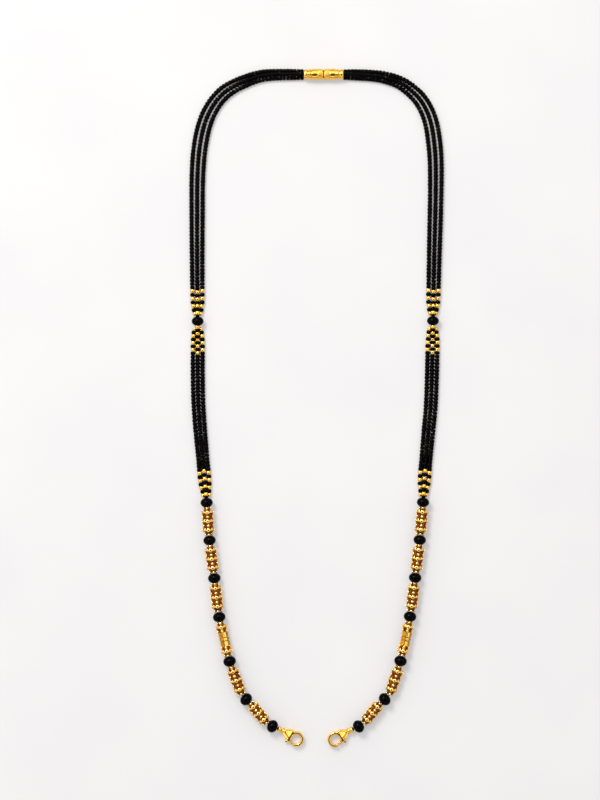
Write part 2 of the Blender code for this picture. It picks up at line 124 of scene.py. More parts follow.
def new_finish(name, patterns, colours, rough, depth, constants):
    """A material whose colour, roughness and relief each follow a pattern.

    A pattern is the size of its lumps in metres, or a texture's kind, inputs and settings.
    Colours are two sRGB codes, rough is a range, the relief's depth is in metres, and the
    constants go on the shader's own sockets.
    """
    made = bpy.data.materials.new(name)
    made.use_nodes = True
    tree = made.node_tree
    shader = tree.nodes["Principled BSDF"]
    place = add_node(tree, "ShaderNodeTexCoord", {}).outputs["Object"]
    shares = []
    for pattern in patterns:
        if isinstance(pattern, float):
            pattern = ("ShaderNodeTexNoise", {"Scale": 1.0 / pattern, "Detail": 2.0}, {})
        kind, inputs, settings = pattern
        texture = add_node(tree, kind, {"Vector": place, **inputs}, **settings)
        shares.append(texture.outputs["Fac"])
    tone, wear, relief = shares
    ramp = add_node(tree, "ShaderNodeValToRGB", {"Fac": tone})
    for element, code, spot in zip(ramp.color_ramp.elements, colours, COLOUR_SPOTS):
        element.position = spot
        element.color = linear(code)
    spread = add_node(tree, "ShaderNodeMapRange", {
        "Value": wear, "From Min": NOISE_LOW, "From Max": NOISE_HIGH,
        "To Min": rough[0], "To Max": rough[1],
    })
    bump = add_node(tree, "ShaderNodeBump", {"Height": relief, "Distance": depth, "Strength": 1.0})
    tree.links.new(ramp.outputs["Color"], shader.inputs["Base Color"])
    tree.links.new(spread.outputs["Result"], shader.inputs["Roughness"])
    tree.links.new(bump.outputs["Normal"], shader.inputs["Normal"])
    for socket, value in constants.items():
        shader.inputs[socket].default_value = value
    return made


# %% [markdown]
# ## Gold
#
# The metal parts are brass or silver under a layer of polished gold. Polish leaves it bright
# but never perfect: the plating is a little uneven over half a millimetre or so, and handling
# dulls it in patches. The granules get the smoothest gold, in a lighter colour that is a painted
# highlight on their small round tops. Metal keeps the default IOR, and its colour alone tints
# what it mirrors.

# %% Polished gold plate
# The lumps of the wear from handling, and of the plating's unevenness
HANDLED = 0.5 * MM
UNEVEN = 0.35 * MM


def gold_finish(name, patch, colours, rough, depth):
    """Plated gold: its colour in patches, its polish uneven over half a millimetre."""
    return new_finish(name, (patch, HANDLED, UNEVEN), colours, rough, depth, {"Metallic": 1.0})


gold = gold_finish(
    "gold plate, polished", patch=2.2 * MM, colours=("#EDB446", "#FFCC62"),
    rough=(0.05, 0.11), depth=0.0012 * MM)
# A lighter copy of the gold: painted highlight on the granules
painted_highlight_gold = gold_finish(
    "gold granules, polished", patch=1.2 * MM, colours=("#F2BE5E", "#FFDC8A"),
    rough=(0.04, 0.1), depth=0.001 * MM)
print("made", gold.name, "and", painted_highlight_gold.name)

# %% [markdown]
# Between the granules of a tube bead the polishing mop never reaches, and the plate stays matt
# there. Its colour is a dark, warm gold there, painted shade for the hollows; the barrel's seam
# gets it too. The barrel's milled grip has a satin gold. The plain bead's flats are polished and
# brushed in turn: the brushed ones are duller, and their deeper colour is painted shade.

# %% Gold with painted shade for the hollows, satin gold and brushed gold with painted shade
# Its dark, warm colours are painted shade for the hollows and the barrel's seam
painted_shade_gold = gold_finish(
    "gold plate, unpolished in the hollows", patch=0.7 * MM, colours=("#2C0E03", "#A05818"),
    rough=(0.2, 0.36), depth=0.02 * MM)
satin_gold = gold_finish(
    "gold plate, satin from milling", patch=1.0 * MM, colours=("#EFB440", "#FFCB58"),
    rough=(0.2, 0.3), depth=0.004 * MM)
# Deeper than the gold: painted shade on every other flat of the plain bead
brushed_gold_painted_shade = gold_finish(
    "gold plate, brushed", patch=0.9 * MM, colours=("#94601A", "#C68E2C"),
    rough=(0.3, 0.42), depth=0.006 * MM)
for finish in (painted_shade_gold, satin_gold, brushed_gold_painted_shade):
    print("made", finish.name)

# %% [markdown]
# ## Black glass and thread
#
# Seed beads are cut from drawn glass cane and tumbled in a kiln, so their edges melt round and
# their skin is glossy. Rondelles are pressed and fire-polished. Both are black through and
# through. Real glass mirrors about 4% of what faces it. These beads are worn and a little
# waxy from the thread, so their specular level is lower and they stay deep black.

# %% Black glass
SKIN_WAVES = 0.7 * MM
SKIN_DEPTH = 0.003 * MM


def glass_finish(name, patch, colours, rough, level):
    """Opaque black glass with a skin that is a little worn in patches."""
    skin = {"IOR": 1.5, "Specular IOR Level": level}
    return new_finish(name, (patch, patch, SKIN_WAVES), colours, rough, SKIN_DEPTH, skin)


seed_glass = glass_finish(
    "black glass, kiln-tumbled", patch=1.1 * MM, colours=("#010101", "#040202"),
    rough=(0.08, 0.14), level=0.03)
rondelle_glass = glass_finish(
    "black glass, fire-polished", patch=1.8 * MM, colours=("#010101", "#020102"),
    rough=(0.08, 0.15), level=0.035)
print("made", seed_glass.name, "and", rondelle_glass.name)

# %% [markdown]
# The thread is twisted polyester drawn through beeswax. Its twist is about 0.8 mm long, and the
# wax gives it a dull sheen. A wave texture draws the twist as slanted bands, which repeat at 0.36
# of the size that the texture is given.

# %% Waxed thread
TWIST_SIZE = 2.2 * MM
twist = (
    "ShaderNodeTexWave", {"Scale": 1.0 / TWIST_SIZE, "Distortion": 1.5},
    {"wave_type": "BANDS", "bands_direction": "DIAGONAL"},
)
waxed_thread = new_finish(
    "polyester thread, twisted and waxed", patterns=(twist, 0.8 * MM, twist),
    colours=("#0B0A0A", "#24211F"), rough=(0.5, 0.75), depth=0.04 * MM,
    constants={"Specular IOR Level": 0.3})
print("made", waxed_thread.name)

# %% [markdown]
# ## Forms and pieces
#
# Nearly every piece of the necklace was turned, drawn or tumbled, so it is a profile turned
# about an axis. A form is its points and faces; a piece is a list of forms, each laid in its
# place with its finish. Building in mesh code keeps hundreds of beads in one object per strand.

# %% Turned forms and balls
def turned(rows, sides):
    """Rows of (radius, height, cut), down the outside and back up the bore, turned about +Z.

    A row's cut, where it has one, gives the share of the radius at an angle.
    """
    points, faces = [], []
    for radius, height, *cut in rows:
        for i in range(sides):
            angle = 2 * pi * i / sides
            reach = radius * (cut[0](angle) if cut else 1.0)
            points.append(Vector((reach * cos(angle), reach * sin(angle), height)))
    for a in range(len(rows)):
        b = (a + 1) % len(rows)
        for i in range(sides):
            j = (i + 1) % sides
            faces.append((a * sides + i, b * sides + i, b * sides + j, a * sides + j))
    return points, faces


def round_ball(detail):
    """A ball of radius 1 from evenly spread triangles."""
    made = bmesh.new()
    bmesh.ops.create_icosphere(made, subdivisions=detail, radius=1.0)
    form = [v.co.copy() for v in made.verts], [[v.index for v in f.verts] for f in made.faces]
    made.free()
    return form


GRANULE = round_ball(3)
SMALL_GRANULE = round_ball(2)
print("a granule has", len(GRANULE[1]), "triangles")

# %% Lay forms and add a piece
def along(direction, up=Vector((0.0, 0.0, 1.0))):
    """Rotation that lays an upright form along a direction, its +X side up."""
    z = Vector(direction).normalized()
    y = z.cross(up).normalized()
    return Matrix((y.cross(z), y, z)).transposed().to_4x4()


def finish_mesh(mesh, weld, crease=34):
    """Smooth shading but for edges sharper than a crease in degrees; a weld closes turned tips."""
    made = bmesh.new()
    made.from_mesh(mesh)
    if weld:
        bmesh.ops.remove_doubles(made, verts=made.verts, dist=0.0005 * MM)
    made.to_mesh(mesh)
    made.free()
    mesh.shade_smooth()
    mesh.set_sharp_from_angle(angle=radians(crease))


def show_piece(name, data, body, stands_for):
    """The piece in the scene, riding on its body, with the nodes that it stands for hidden."""
    piece = bpy.data.objects.new(name, data)
    bpy.context.scene.collection.objects.link(piece)
    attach(piece, body)
    if stands_for:
        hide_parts(*stands_for)
    return piece


def add_piece(name, laid, stands_for=(), weld=False):
    """A piece of the chain from forms, each with its matrix and its material."""
    points, faces, finishes, materials = [], [], [], []
    for form, matrix, material in laid:
        if material not in materials:
            materials.append(material)
        start = len(points)
        points.extend(matrix @ point for point in form[0])
        faces.extend([start + i for i in face] for face in form[1])
        finishes.extend([materials.index(material)] * len(form[1]))
    mesh = bpy.data.meshes.new(name)
    mesh.from_pydata(points, [], faces)
    for material in materials:
        mesh.materials.append(material)
    mesh.polygons.foreach_set("material_index", finishes)
    finish_mesh(mesh, weld)
    return show_piece(name, mesh, "chain", stands_for)


# %% [markdown]
# ## The middle line of a side
#
# A necklace laid on a table takes a free, soft curve. Chosen points give the curve's shape,
# and the beads strung on it give its length, just as with the real one. The same line and the
# same sizes lay out the solids, so each bead made here lands on its own solid.

# %% Sizes that lay out the sides
PIECE_GAP = 0.3 * MM
SEED_WIDTH = 2.0 * MM
STRAND_SPREAD = 2.5 * MM
UPPER_STRAND = {"left": 142.7 * MM, "right": 137.9 * MM}
LOWER_STRAND = 78.15 * MM
# The strands beside end this much before a meeting, and the middle one rises to it over a neck
SIDE_STRAND_SHORT = 1.5 * MM
NECK_LENGTH = 2.2 * MM
RONDELLE_WIDTH = 5.8 * MM
RONDELLE_LENGTH = 4.2 * MM
RONDELLE_FACE = 2.3 * MM
TUBE_BEAD_WIDTH = 6.2 * MM
TUBE_BEAD_LENGTH = 12.8 * MM
PLAIN_BEAD_LENGTH = 15.6 * MM
# What the bends of the single string add to its length
BEND_ROOM = 1.55 * MM
BARREL_WIDTH = 5.0 * MM
BARREL_HALF_LENGTH = 8.95 * MM
SIDES = {"left": -1, "right": 1}

# The route of each side in mm, as given: its start, then points along its middle line
ROUTE_STARTS = {"left": (-5.85, 0.0), "right": (12.05, 0.0)}
ROUTES = {
    "left": [
        (-18.6, -0.1), (-25.8, -0.8), (-33.1, -3.2), (-40.4, -6.9), (-45.0, -11.1),
        (-48.8, -16.9), (-51.1, -22.6), (-52.7, -29.2), (-53.8, -37.1), (-54.4, -48.0),
        (-54.5, -64.0), (-54.5, -79.9), (-54.4, -95.8), (-54.2, -112.2), (-54.2, -123.1),
        (-54.2, -137.2), (-53.9, -150.4), (-53.0, -162.7), (-51.7, -177.3), (-50.1, -194.8),
        (-48.8, -211.9), (-46.6, -229.2), (-44.4, -246.9), (-39.7, -266.9), (-33.9, -282.7),
        (-30.5, -285.7), (-22.3, -295.5), (-18.2, -297.5),
    ],
    "right": [
        (23.3, -0.4), (30.6, -1.3), (37.9, -3.7), (43.3, -7.5), (47.2, -11.6),
        (50.3, -17.1), (52.1, -22.6), (53.2, -28.9), (54.0, -37.1), (54.2, -47.1),
        (54.0, -61.7), (53.6, -77.6), (53.2, -95.8), (52.8, -112.1), (52.7, -123.1),
        (52.4, -137.2), (51.9, -150.4), (50.8, -162.7), (49.5, -177.3), (48.3, -194.5),
        (46.8, -211.6), (44.7, -228.8), (42.4, -246.5), (38.1, -266.6), (32.8, -282.5),
        (29.3, -285.3), (21.0, -295.3), (17.1, -297.6),
    ],
}
# Shares of the usual length and width: of the rondelle where the strands meet, and of each bead
# of the single string, from the strands down
MEETING_RONDELLE = {"length": 0.92, "width": 0.95}
STRING_BEADS = (
    ("rondelle", 0.95, 0.98),
    ("granulated", 0.975, 1.0),
    ("rondelle", 0.98, 0.99),
    ("granulated", 0.98, 1.0),
    ("rondelle", 1.0, 1.0),
    ("granulated", 1.01, 1.0),
    ("rondelle", 1.02, 1.0),
    ("plain_middle", 1.0, 1.0),
    ("rondelle", 1.05, 1.01),
    ("granulated", 1.05, 1.0),
    ("rondelle", 1.07, 1.03),
    ("granulated", 0.91, 1.0),
    ("rondelle", 1.05, 1.02),
)
BEAD_SIZES = {
    "rondelle": (RONDELLE_LENGTH, RONDELLE_WIDTH),
    "granulated": (TUBE_BEAD_LENGTH, TUBE_BEAD_WIDTH),
    "plain_middle": (PLAIN_BEAD_LENGTH, TUBE_BEAD_WIDTH),
}
STRING_HEIGHT = TUBE_BEAD_WIDTH / 2
MEETING_HEIGHT = MEETING_RONDELLE["width"] * RONDELLE_WIDTH / 2

# The middle of the barrel clasp is where the solids put it
low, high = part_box("barrel_screw_half")
BARREL_AXIS = (low[1] + high[1]) / 2
low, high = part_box("barrel_socket_half")
BARREL_PLACE = high[0] - BARREL_HALF_LENGTH
print("barrel clasp's middle at", round(BARREL_PLACE / MM, 2), round(BARREL_AXIS / MM, 2), "mm")

# %% A smooth line, measured along its length
def smooth_line(points, steps=8):
    """Points along a smooth curve through the chosen points, its bends in proportion to them."""
    around = [2 * points[0] - points[1]] + points + [2 * points[-1] - points[-2]]
    tangents = [(after - before).normalized() for before, after in zip(around, around[2:])]
    line = []
    for start, end, leave, arrive in zip(points, points[1:], tangents, tangents[1:]):
        reach = (end - start).length
        for step in range(steps):
            t = step / steps
            rise = t * t * (3 - 2 * t)
            line.append(
                start * (1 - rise) + end * rise
                + leave * (reach * t * (1 - t) ** 2) - arrive * (reach * t * t * (1 - t))
            )
    line.append(points[-1])
    return line


class Line:
    """A line of points, read by the distance along it; both ends run on straight."""

    def __init__(self, points):
        self.points = points
        self.reach = [0.0]
        for a, b in zip(points, points[1:]):
            self.reach.append(self.reach[-1] + (b - a).length)

    def at(self, distance):
        """Place at a distance, and the direction there."""
        index = 0
        while index < len(self.reach) - 2 and self.reach[index + 1] < distance:
            index += 1
        a, b = self.points[index], self.points[index + 1]
        direction = (b - a).normalized()
        return a + direction * (distance - self.reach[index]), direction


def side_line(side):
    """A side's middle line in plan, from the barrel clasp to the end of its last rondelle."""
    lengths = [UPPER_STRAND[side], LOWER_STRAND, RONDELLE_LENGTH * MEETING_RONDELLE["length"]]
    lengths += [BEAD_SIZES[kind][0] * share for kind, share, _ in STRING_BEADS]
    strung = sum(lengths) + len(lengths) * PIECE_GAP + BEND_ROOM
    drawn = [Vector(point) for point in [ROUTE_STARTS[side]] + ROUTES[side]]
    line = smooth_line(drawn)
    scale = strung / Line(line).reach[-1]
    start = Vector((BARREL_PLACE + SIDES[side] * BARREL_HALF_LENGTH, BARREL_AXIS))
    return Line([start + (point - drawn[0]) * scale for point in line])


routes = {side: side_line(side) for side in SIDES}
for side, route in routes.items():
    print(side, "side is", round(route.reach[-1] / MM, 1), "mm long")

# %% [markdown]
# ## Seed bead strands
#
# Each strand is its own thread of seed beads. Three lie side by side, the middle one riding in
# the valley between the other two, and they draw together wherever they enter a rondelle.
# Near each meeting, gold seeds alternate with black ones in bands. A seed is a short piece of
# cane with melted edges: a fat ring. One ring form is laid again and again, each time with a
# slightly different width, length and tilt, because no two real ones are the same.

# %% Lines of the strands
# How far a side strand lies from the middle line: share of the length, share of the spread
UPPER_SPREAD = (
    (0.0, 0.52), (0.03, 0.62), (0.09, 0.66), (0.14, 0.74), (0.195, 0.84), (0.26, 0.97),
    (0.34, 1.05), (0.43, 1.09), (0.53, 1.05), (0.61, 1.02), (0.7, 1.0), (0.8, 0.95),
    (0.9, 0.91), (0.953, 0.87), (0.965, 0.76), (0.977, 0.67), (0.988, 0.53), (1.0, 0.5),
)
LOWER_SPREAD = (
    (0.0, 0.48), (0.013, 0.5), (0.044, 0.73), (0.065, 0.78), (0.087, 0.86), (0.14, 0.88),
    (0.35, 0.88), (0.6, 0.85), (0.79, 0.79), (0.87, 0.83), (0.916, 0.78), (0.936, 0.7),
    (0.9615, 0.56), (0.98, 0.53), (1.0, 0.5),
)
ROWS = (("inner", -1), ("middle", 0), ("outer", 1))


def read_table(table, share):
    """Value at a share of the length, on straight lines between the table's rows."""
    for (x0, y0), (x1, y1) in zip(table, table[1:]):
        if share <= x1:
            return y0 + (y1 - y0) * (share - x0) / (x1 - x0)
    return table[-1][1]


def strand_line(side, start, length, spread, outward, end_heights, step=0.4 * MM):
    """Fine points of one strand: -1 and 1 lie on the board, 0 rides over them in the middle."""
    short = SIDE_STRAND_SHORT if outward else 0.0
    first = start + (short if end_heights[0] else 0.0)
    last = start + length - (short if end_heights[1] else 0.0)
    count = round((last - first) / step)
    points = []
    for i in range(count + 1):
        distance = first + (last - first) * i / count
        beside = STRAND_SPREAD * read_table(spread, (distance - start) / length)
        height = SEED_WIDTH / 2
        if not outward:
            height += sqrt(max(0.0, SEED_WIDTH ** 2 - beside ** 2))
            for end_height, away in zip(end_heights, (distance - start, start + length - distance)):
                if end_height and away < NECK_LENGTH:
                    height += (end_height - height) * (1.0 - away / NECK_LENGTH)
        place, direction = routes[side].at(distance)
        place = place + Vector((direction.y, -direction.x)) * (-SIDES[side] * outward * beside)
        points.append(Vector((place.x, place.y, height)))
    return Line(points)


def sections(side):
    """The strands of a side: section, row, line."""
    lower_start = UPPER_STRAND[side] + 3 * PIECE_GAP + RONDELLE_LENGTH * MEETING_RONDELLE["length"]
    upper = (PIECE_GAP, UPPER_STRAND[side], UPPER_SPREAD)
    lower = (lower_start, LOWER_STRAND, LOWER_SPREAD)
    for section, sizes, heights in (
        ("upper", upper, (None, MEETING_HEIGHT)),
        ("lower", lower, (MEETING_HEIGHT, STRING_HEIGHT)),
    ):
        start, length, spread = sizes
        for row, outward in ROWS:
            yield section, row, strand_line(side, start, length, spread, outward, heights)


strands = {side: list(sections(side)) for side in SIDES}
for section, row, line in strands["left"]:
    print(section, row, "strand on the left is", round(line.reach[-1] / MM, 1), "mm long")

# %% [markdown]
# The stringer counts the seeds of a band, and fills the rest of the strand with plain black.
# The same is done here: each band is a word of letters, and the plain run is spaced evenly.

# %% Where each seed sits
NECK_PITCH = 1.3 * MM
SEED_PITCH = 1.6 * MM
# Bands from a strand's end inward: G gold, B black, N a thin black seed in the neck, with
# the first one's distance from the strand's end and the pitch, in mm. True is for the strands
# beside, False for the middle one
NO_BAND = ("B", 0.62, 1.6)
BANDS = {
    ("upper", "start", True): NO_BAND,
    ("upper", "start", False): NO_BAND,
    ("upper", "end", True): ("GBGBGBG", -0.3, 1.74),
    ("upper", "end", False): ("NGBGBGBG", 0.2, 1.65),
    ("lower", "start", True): ("GBGBGBG", -0.12, 1.58),
    ("lower", "start", False): ("GBGBGBGBG", 0.41, 1.51),
    ("lower", "end", True): ("GBGBGBG", -0.4, 1.68),
    ("lower", "end", False): ("NGBGBGBG", 0.29, 1.8),
}


def band_places(band, first, pitch):
    """Kinds and distances of a band's seeds from the strand's end."""
    places, distance = [], first * MM
    for kind in band:
        places.append((kind, distance))
        distance += NECK_PITCH if kind == "N" else pitch * MM
    return places


def seed_places(section, row, length):
    """Kind and distance of every seed of a strand, the plain run spaced evenly."""
    beside = row != "middle"
    start = band_places(*BANDS[section, "start", beside])
    end = band_places(*BANDS[section, "end", beside])
    end = [(kind, length - distance) for kind, distance in reversed(end)]
    first, last = start[-1][1], end[0][1]
    count = round((last - first) / SEED_PITCH)
    run = [("P", first + (last - first) * i / count) for i in range(1, count)]
    return start + run + end


print("longest band:", max((band for band, _, _ in BANDS.values()), key=len))

# %% [markdown]
# Cane is cut by a machine and tumbled, so no two seeds match. Widths differ by a few parts in
# a hundred, lengths by a little more, and the thread's slack lets each seed tilt.

# %% Form of a seed, and one piece per strand
def ring_rows(width, length, bore, count=12, square=2.15):
    """A ring's section: an oval drawn toward a rectangle, down the outside and up the bore."""
    middle, half = (width + bore) / 4, (width - bore) / 4
    rows = []
    for i in range(count):
        angle = pi / 2 - 2 * pi * (i + 0.5) / count
        x = abs(cos(angle)) ** (2 / square) * (1 if cos(angle) > 0 else -1)
        z = abs(sin(angle)) ** (2 / square) * (1 if sin(angle) > 0 else -1)
        rows.append((middle + half * x, length / 2 * z))
    return rows


SEED = turned(ring_rows(1.0, 1.0, 0.2), 16)
SEED_SIZES = {
    "P": (2.31 * MM, 1.66 * MM), "B": (2.38 * MM, 1.68 * MM),
    "N": (1.9 * MM, 1.2 * MM), "G": (2.15 * MM, 1.68 * MM),
}
# How seeds vary: the range of their width and of their length, and their tilt in degrees
WIDTH_SHARES = (0.96, 1.03)
LENGTH_SHARES = (0.93, 1.04)
SEED_TILT = 3
SEED_THREAD = 0.36 * MM


def seed_matrix(kind, line, distance):
    """A seed on its strand: a little wider or narrower, longer or shorter, and tilted."""
    place, direction = line.at(distance)
    width, length = SEED_SIZES[kind]
    width *= chance.uniform(*WIDTH_SHARES)
    length *= chance.uniform(*LENGTH_SHARES)
    turns = Matrix.Rotation(radians(chance.gauss(0, SEED_TILT)), 4, "X")
    turns = turns @ Matrix.Rotation(radians(chance.gauss(0, SEED_TILT)), 4, "Y")
    turns = turns @ Matrix.Rotation(chance.uniform(0, 2 * pi), 4, "Z")
    size = Matrix.Diagonal((width, width, length, 1.0))
    return Matrix.Translation(place) @ along(direction) @ turns @ size


def thread_curve(name, line, width):
    """The strand's own thread, just visible between seeds; every fifth point is enough."""
    curve = bpy.data.curves.new(name, "CURVE")
    curve.dimensions = "3D"
    curve.bevel_depth = width / 2
    curve.bevel_resolution = 1
    curve.materials.append(waxed_thread)
    chosen = line.points[::5] + [line.points[-1]]
    spline = curve.splines.new("POLY")
    spline.points.add(len(chosen) - 1)
    for spot, point in zip(spline.points, chosen):
        spot.co = (*point, 1.0)
    return show_piece(name, curve, "chain", ())


counts = {"black": 0, "gold": 0}
for side, lines in strands.items():
    for section, row, line in lines:
        black, golden = [], []
        for kind, distance in seed_places(section, row, line.reach[-1]):
            matrix = seed_matrix(kind, line, distance)
            if kind == "G":
                golden.append((SEED, matrix, gold))
            else:
                black.append((SEED, matrix, seed_glass))
        tail = f"{section}_{row}_{side}"
        add_piece(f"black_seeds_{tail}", black, (f"strand_{tail}",))
        add_piece(f"gold_seeds_{tail}", golden)
        thread_curve(f"seed_thread_{tail}", line, SEED_THREAD)
        counts["black"] += len(black)
        counts["gold"] += len(golden)
print(counts["black"], "black seeds and", counts["gold"], "gold seeds")

# %% [markdown]
# ## Where the beads of the single string lie
#
# Below the strands one stout thread carries everything. Each bead is straight, so it bridges
# the curve from one point of the line to another, and where the string bends the faces open a
# little on the outer side.

# %% Lay out the single string
def lay_bead(route, start, length, height):
    """A straight bead that starts at a distance along the line: its two ends."""
    first, _ = route.at(start)
    then, _ = route.at(start + length)
    direction = (then - first).normalized()
    return Vector((*first, height)), Vector((*(first + direction * length), height))


def string_beads(side):
    """Kind, number, length, width and ends of each bead of a side, from the strands down."""
    route = routes[side]
    length = RONDELLE_LENGTH * MEETING_RONDELLE["length"]
    distance = UPPER_STRAND[side] + 2 * PIECE_GAP
    ends = lay_bead(route, distance, length, MEETING_HEIGHT)
    yield "rondelle", 1, length, RONDELLE_WIDTH * MEETING_RONDELLE["width"], ends
    distance += length + PIECE_GAP + LOWER_STRAND
    numbers = {"rondelle": 1, "granulated": 0, "plain_middle": 0}
    before = None
    for kind, length_share, width_share in STRING_BEADS:
        length = BEAD_SIZES[kind][0] * length_share
        gap = PIECE_GAP
        if before:
            ends = lay_bead(route, distance + gap, length, STRING_HEIGHT)
            gap += RONDELLE_FACE * tan(before.angle(ends[1] - ends[0]) / 2)
        distance += gap
        ends = lay_bead(route, distance, length, STRING_HEIGHT)
        before = ends[1] - ends[0]
        numbers[kind] += 1
        yield kind, numbers[kind], length, BEAD_SIZES[kind][1] * width_share, ends
        distance += length


strings = {side: list(string_beads(side)) for side in SIDES}
worst = 0.0
for side, beads in strings.items():
    for kind, number, length, width, (first, last) in beads:
        low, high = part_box(f"{kind}_{number}_{side}")
        worst = max(worst, ((Vector(low) + Vector(high)) / 2 - (first + last) / 2).length)
print("beads lie within", round(worst / MM, 3), "mm of their solids")

# %% [markdown]
# ## Rondelles
#
# A rondelle is a flattened ball of pressed glass with a drilled hole. Its faces are small flats
# round the hole, and the fire polish has rounded every edge. An arc of an ellipse, cut off at
# the faces, gives that form. It is turned with 56 sides, so its outline stays round close up.

# %% Rondelles
RONDELLE_BORE = 0.9 * MM
# Neighbours touch on the real string, so each rondelle is a little longer than its solid
RONDELLE_EXTRA = 0.14 * MM
RONDELLE_SIDES = 56


def rondelle_rows(length, width, face, bore, count=22):
    """Rows of a rondelle: an ellipse cut off by its faces, softened at the rims."""
    radius = width / 2
    stretch = (length / 2) / sqrt(1.0 - (face / width) ** 2)
    rows = []
    for i in range(count + 1):
        height = length / 2 * cos(pi * i / count)
        rows.append((radius * sqrt(1.0 - (height / stretch) ** 2), height))
    rim = bore / 2 + 0.12 * MM
    inner = [(rim, -length / 2 + 0.02 * MM), (bore / 2, -length / 2 + 0.16 * MM)]
    return rows + inner + [(radius, -height) for radius, height in reversed(inner)]


for side, beads in strings.items():
    for kind, number, length, width, (first, last) in beads:
        if kind == "rondelle":
            rows = rondelle_rows(length + RONDELLE_EXTRA, width, RONDELLE_FACE, RONDELLE_BORE)
            form = turned(rows, RONDELLE_SIDES)
            matrix = Matrix.Translation((first + last) / 2) @ along(last - first)
            add_piece(
                f"glass_rondelle_{number}_{side}", [(form, matrix, rondelle_glass)],
                (f"rondelle_{number}_{side}",))
    print(side, "side has", sum(kind == "rondelle" for kind, *_ in beads), "rondelles")

# %% [markdown]
# ## Granulated tube beads
#
# Granulation is an old goldsmith's craft: tiny balls of gold are soldered in rings on a thin
# tube. This tube has four ridges along it and four hollows between them, crossed by three thin
# bands. Seven rings of granules sit on it. Each band has a full ring of eight: four large ones
# on the ridges, and four smaller ones set back in the hollows. Rings of four lie between the
# bands, on the ridges alone, and four small granules close each end. Balls laid on a turned
# tube copy both the craft and its look.
#
# The plain bead has granules near its ends only. Its middle is filed into eight flats, with a
# turned groove on each side of a slightly wider belt.

# %% Granules on a tube
# Rings of granules: share of the length, count, then the granules' width and their reach from
# the axis in mm, and how far they are flattened toward the tube. The rings of eight are those
# on the bands, where every other granule is a smaller one in a hollow
GRANULATED_RINGS = (
    (0.018, 4, 1.15, 1.3, 0.9), (0.168, 8, 1.75, 2.5, 0.45), (0.335, 4, 1.35, 2.1, 0.85),
    (0.492, 8, 1.75, 2.5, 0.45), (0.655, 4, 1.35, 2.1, 0.85), (0.812, 8, 1.75, 2.5, 0.45),
    (0.98, 4, 1.15, 1.55, 0.9),
)
PLAIN_RINGS = (
    (0.015, 4, 1.15, 1.3, 0.9), (0.138, 8, 1.68, 2.42, 0.45), (0.262, 4, 1.3, 1.95, 0.85),
    (0.738, 4, 1.3, 1.95, 0.85), (0.858, 8, 1.68, 2.42, 0.45), (0.984, 4, 1.15, 1.5, 0.9),
)
TUBE_BORE = 0.9 * MM
# A granule in a hollow: its width and reach as shares of the large ones', and how far it is set
# back along the bead
HOLLOW_WIDTH = 0.72
HOLLOW_REACH = 0.94
HOLLOW_SETBACK = 0.28 * MM
GRANULE_SHARES = (0.97, 1.02)
# A granule narrower than this, in mm, takes the form with fewer triangles
SMALL_WIDTH = 1.5


def granules(rings, length, matrix):
    """The granules of a bead, one column of them facing up."""
    laid = []
    for share, count, width, reach, flat in rings:
        for i in range(count):
            angle = 2 * pi * i / count
            small = width < SMALL_WIDTH or i % 2 == 1
            form = SMALL_GRANULE if small else GRANULE
            spot = Vector((reach * MM * cos(angle), reach * MM * sin(angle), length * (0.5 - share)))
            size = width * MM / 2 * chance.uniform(*GRANULE_SHARES)
            if count == 8 and small:
                spot = Vector(
                    (HOLLOW_REACH * spot.x, HOLLOW_REACH * spot.y, spot.z + HOLLOW_SETBACK))
                size *= HOLLOW_WIDTH
            turn = Matrix.Rotation(angle, 4, "Z") @ Matrix.Diagonal((size * flat, size, size, 1.0))
            # The granules take the lighter gold, a painted highlight
            laid.append((form, matrix @ Matrix.Translation(spot) @ turn, painted_highlight_gold))
    return laid


for kind, rings in (("granulated", GRANULATED_RINGS), ("plain", PLAIN_RINGS)):
    print("granules on a", kind, "bead:", sum(count for _, count, *_ in rings))

# %% [markdown]
# A tube is turned from an outline: how far along the bead, and how far from its axis. Where a
# row also has a cut, its ring isn't round: a section with four hollows for the ridges, or one
# filed into flats for the plain middle.

# %% Outlines of the tubes
def tube_rows(outline, length):
    """A tube's rows from (share of the length, radius in mm, cut), with its bore."""
    rows = [(radius * MM, length * (0.5 - share), *cut) for share, radius, *cut in outline]
    return rows + [(TUBE_BORE / 2, -length / 2), (TUBE_BORE / 2, length / 2)]


def hollowed(angle, depth=0.3):
    """Four hollows along a tube, between the ridges that carry the columns of granules."""
    return 1.0 - depth * (0.5 - 0.5 * cos(4 * angle)) ** 0.8


GRANULATED_TUBE = (
    (0.0, 1.1), (0.01, 1.35), (0.08, 1.6), (0.115, 1.95), (0.138, 2.3), (0.145, 2.45), (0.152, 2.52),
    (0.184, 2.52), (0.191, 2.45), (0.194, 2.4, hollowed), (0.466, 2.4, hollowed),
    (0.469, 2.45), (0.476, 2.52), (0.508, 2.52), (0.515, 2.45),
    (0.518, 2.4, hollowed), (0.786, 2.4, hollowed), (0.789, 2.45), (0.796, 2.52), (0.828, 2.52),
    (0.835, 2.45), (0.842, 2.3), (0.87, 2.05), (0.92, 1.7), (0.99, 1.35), (1.0, 1.1),
)
FACETS = 8
FACET_LEAN = radians(14)


def faceted(angle):
    """A round section filed into flats, the top one leaning a little."""
    step = 2 * pi / FACETS
    return cos(step / 2) / cos((angle - FACET_LEAN + step / 2) % step - step / 2)


PLAIN_ENDS = (
    (0.0, 1.1), (0.01, 1.35), (0.065, 1.55), (0.095, 1.9), (0.113, 2.25), (0.12, 2.4), (0.126, 2.45),
    (0.15, 2.45), (0.156, 2.4), (0.16, 2.2, hollowed), (0.285, 2.2, hollowed), (0.29, 2.0), (0.3, 2.15),
)
PLAIN_MIDDLE = (
    (0.302, 2.3, faceted), (0.438, 2.3, faceted), (0.44, 1.85), (0.461, 1.85), (0.463, 2.36, faceted),
    (0.5, 2.38, faceted),
)


def mirrored(outline):
    """The other half of an outline, from the middle of a bead to its end."""
    return tuple((1.0 - share, *rest) for share, *rest in reversed(outline))


